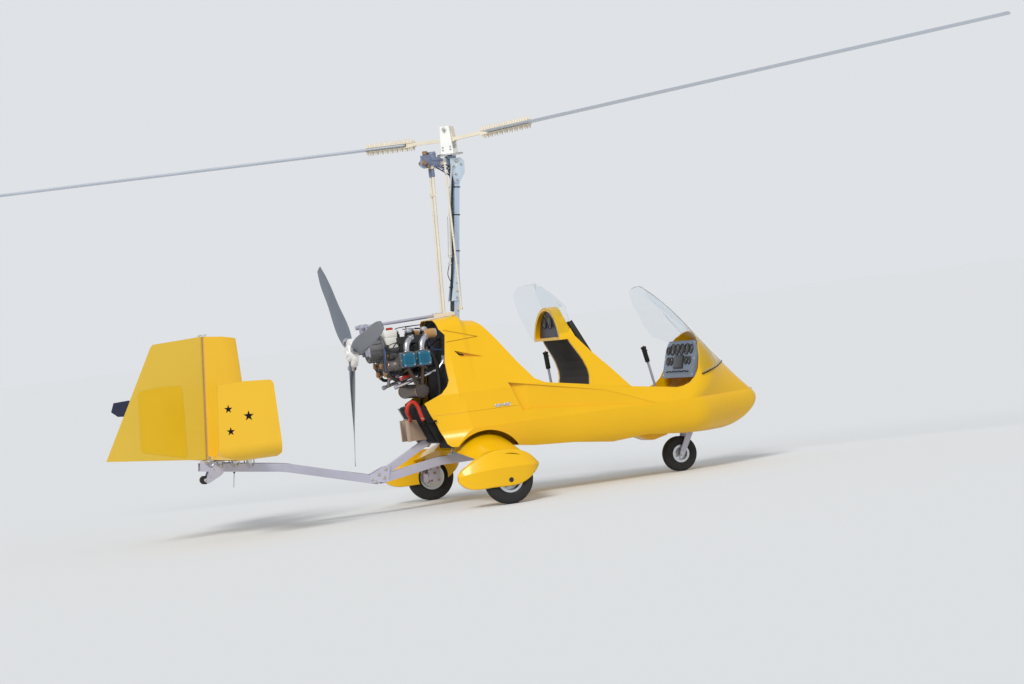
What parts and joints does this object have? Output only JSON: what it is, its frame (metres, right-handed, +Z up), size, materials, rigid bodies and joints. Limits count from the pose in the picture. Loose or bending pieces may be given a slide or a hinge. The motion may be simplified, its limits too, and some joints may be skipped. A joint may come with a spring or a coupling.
{
  "type": "gyrocopter",
  "caption": "Two-seat tandem gyrocopter with open cockpits, pusher engine, teetering rotor on a tall mast and a boom tail, parked on its wheels",
  "frame": {"origin": "on the ground under the rotor hub, in the middle of the parked machine as it stands with its rotor", "axes": "+X towards the nose, +Y to the left, +Z up"},
  "size_m": [6.2691, 6.0739, 2.9348],
  "materials": {
    "shell_yellow": "gloss",
    "tail_yellow": "gloss",
    "clear_screen": "gloss",
    "navy_panel": "satin",
    "navy_metal": "satin",
    "panel_grey": "matte",
    "seat_black": "matte",
    "bare_aluminium": "satin",
    "inner_black": "matte",
    "black_plastic": "satin",
    "frame_steel": "satin",
    "mast_grey": "satin",
    "hub_white": "satin",
    "blade_grey": "satin",
    "engine_grey": "satin",
    "rocker_teal": "satin",
    "tank_white": "satin",
    "exhaust_metal": "satin",
    "black_metal": "satin",
    "spinner_white": "gloss",
    "prop_grey": "satin",
    "black_rubber": "matte",
    "tyre_black": "matte",
    "rim_silver": "satin"
  },
  "bodies": {
    "airframe": {"axle_plates": "frame_steel", "belly_fairing": "shell_yellow", "boom_braces": "frame_steel", "control_sticks": "black_plastic", "coolant_tank": "tank_white", "crankcase": "engine_grey", "cylinders": "engine_grey", "engine_mount": "frame_steel", "exhaust": "exhaust_metal", "fin": "tail_yellow", "firewall": "bare_aluminium", "front_windscreen": "clear_screen", "fuselage_tub": "shell_yellow", "gear_legs": "shell_yellow", "headrest_hood": "shell_yellow", "instrument_panel": "panel_grey", "intake_manifolds": "bare_aluminium", "keel_tube": "frame_steel", "mast": "mast_grey", "nose_deck": "shell_yellow", "oil_cooler": "engine_grey", "push_pull_rods": "bare_aluminium", "radiator": "black_metal", "rear_fairing": "shell_yellow", "rear_instrument_panel": "navy_panel", "rear_windscreen": "clear_screen", "rocker_covers": "rocker_teal", "rotor_head": "bare_aluminium", "seat_supports": "inner_black", "seats": "seat_black", "stabiliser": "shell_yellow", "steering_head": "bare_aluminium", "tail_boom": "frame_steel", "tail_brackets": "bare_aluminium", "tail_skid": "frame_steel", "trim_cylinder": "bare_aluminium", "wheel_pants": "shell_yellow"},
    "rotor_hub": {"rotor_tower": "hub_white"},
    "rotor": {"hub_bar": "bare_aluminium", "blade_straps": "bare_aluminium", "rotor_blades": "blade_grey"},
    "nose_fork_body": {"nose_fork": "frame_steel"},
    "nose_wheel": {"nose_rim": "rim_silver", "nose_tyre": "tyre_black"},
    "main_wheel_left": {"main_rim_left": "rim_silver", "main_tyre_left": "tyre_black"},
    "main_wheel_right": {"main_rim_right": "rim_silver", "main_tyre_right": "tyre_black"},
    "tail_roller_body": {"tail_roller": "black_rubber"},
    "propeller": {"propeller_hub": "spinner_white", "propeller_blades": "prop_grey"},
    "rudder_body": {"rudder": "tail_yellow", "trim_tab": "navy_metal"}
  },
  "joints": [
    {"name": "rotor_spin", "type": "hinge", "parent": "airframe", "child": "rotor_hub", "pos_m": [0, 0, 2.625], "axis": [0, 0, 1], "continuous": true},
    {"name": "rotor_teeter", "type": "hinge", "parent": "rotor_hub", "child": "rotor", "pos_m": [0, 0, 2.703], "axis": [0.6884, 0.7254, 0], "range_deg": [-6.6, 9.4]},
    {"name": "nose_steer", "type": "hinge", "parent": "airframe", "child": "nose_fork_body", "pos_m": [1.56, 0, 0.3], "axis": [0, 0, 1], "range_deg": [-25, 25]},
    {"name": "nose_wheel_spin", "type": "hinge", "parent": "nose_fork_body", "child": "nose_wheel", "pos_m": [1.488, 0, 0.13], "axis": [0, 1, 0], "continuous": true},
    {"name": "main_wheel_left_spin", "type": "hinge", "parent": "airframe", "child": "main_wheel_left", "pos_m": [-0.172, 0.9, 0.175], "axis": [0, 1, 0], "continuous": true},
    {"name": "main_wheel_right_spin", "type": "hinge", "parent": "airframe", "child": "main_wheel_right", "pos_m": [-0.172, -0.9, 0.175], "axis": [0, 1, 0], "continuous": true},
    {"name": "tail_roller_spin", "type": "hinge", "parent": "airframe", "child": "tail_roller_body", "pos_m": [-2.122, 0, 0.424], "axis": [0, 1, 0], "continuous": true},
    {"name": "propeller_spin", "type": "hinge", "parent": "airframe", "child": "propeller", "pos_m": [-0.927, 0, 1.18], "axis": [1, 0, 0], "continuous": true},
    {"name": "rudder_swing", "type": "hinge", "parent": "airframe", "child": "rudder_body", "pos_m": [-2.105, 0, 0.568], "axis": [0.0876, 0, 0.9962], "range_deg": [-25, 25]}
  ],
  "couplings": [
    {"joint": "rudder_swing", "follows": "nose_steer", "ratio": -1}
  ]
}
